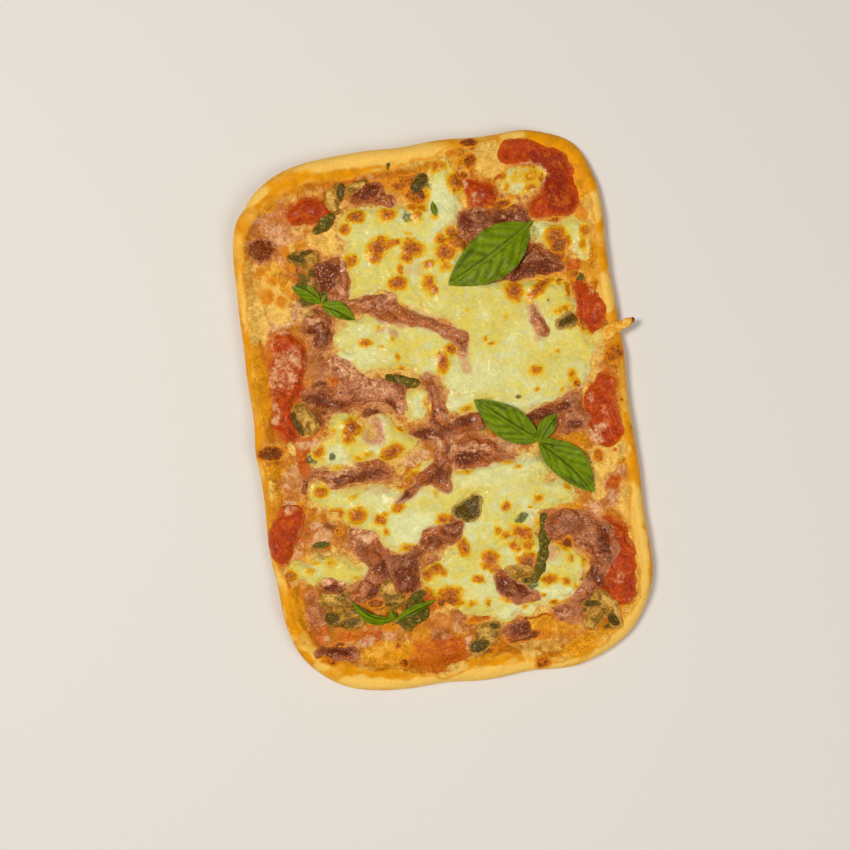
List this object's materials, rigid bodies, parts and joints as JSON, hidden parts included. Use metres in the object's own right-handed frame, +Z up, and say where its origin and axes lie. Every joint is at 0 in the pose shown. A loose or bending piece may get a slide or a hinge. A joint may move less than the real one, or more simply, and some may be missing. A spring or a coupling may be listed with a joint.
{
  "type": "ham and mushroom pizza",
  "caption": "Rectangular baked pizza with a puffed dough rim, tomato, melted browned cheese, folded ham, sliced mushrooms and basil leaves, lying flat.",
  "frame": {"origin": "on the flat underside, at the middle of the whole pizza's box seen from above", "axes": "+Z up out of the topping side, +Y along the pizza's longer side towards the end that is at the top of the picture, +X to the right of that"},
  "size_m": [0.2645, 0.3662, 0.0179],
  "materials": {
    "dough": "baked, dry and slightly rough",
    "cheese": "melted, soft sheen",
    "crisp_cheese": "baked crisp",
    "tomato": "wet",
    "ham": "oily",
    "mushroom": "baked, slightly moist",
    "baked_basil": "limp, dull",
    "fresh_basil": "fresh, satin"
  },
  "bodies": {
    "root": {"baked_basil_1": "baked_basil", "baked_basil_2": "baked_basil", "baked_basil_3": "baked_basil", "baked_basil_4": "baked_basil", "basil_leaf_large": "fresh_basil", "basil_leaf_small": "fresh_basil", "basil_sprig_bottom": "fresh_basil", "basil_sprig_left": "fresh_basil", "basil_sprig_right": "fresh_basil", "cheese_corner": "cheese", "cheese_left": "cheese", "cheese_lower": "cheese", "cheese_main": "cheese", "cheese_right": "cheese", "cheese_round": "cheese", "cheese_small": "cheese", "crisp_horn": "crisp_cheese", "dough": "dough", "ham_1": "ham", "ham_10": "ham", "ham_11": "ham", "ham_12": "ham", "ham_13": "ham", "ham_14": "ham", "ham_15": "ham", "ham_16": "ham", "ham_17": "ham", "ham_18": "ham", "ham_19": "ham", "ham_2": "ham", "ham_20": "ham", "ham_3": "ham", "ham_4": "ham", "ham_5": "ham", "ham_6": "ham", "ham_7": "ham", "ham_8": "ham", "ham_9": "ham", "mushroom_1": "mushroom", "mushroom_10": "mushroom", "mushroom_11": "mushroom", "mushroom_12": "mushroom", "mushroom_2": "mushroom", "mushroom_3": "mushroom", "mushroom_4": "mushroom", "mushroom_5": "mushroom", "mushroom_6": "mushroom", "mushroom_7": "mushroom", "mushroom_8": "mushroom", "mushroom_9": "mushroom", "tomato_1": "tomato", "tomato_2": "tomato", "tomato_3": "tomato", "tomato_4": "tomato", "tomato_5": "tomato", "tomato_6": "tomato", "tomato_7": "tomato", "tomato_8": "tomato", "tomato_9": "tomato"}
  },
  "joints": []
}
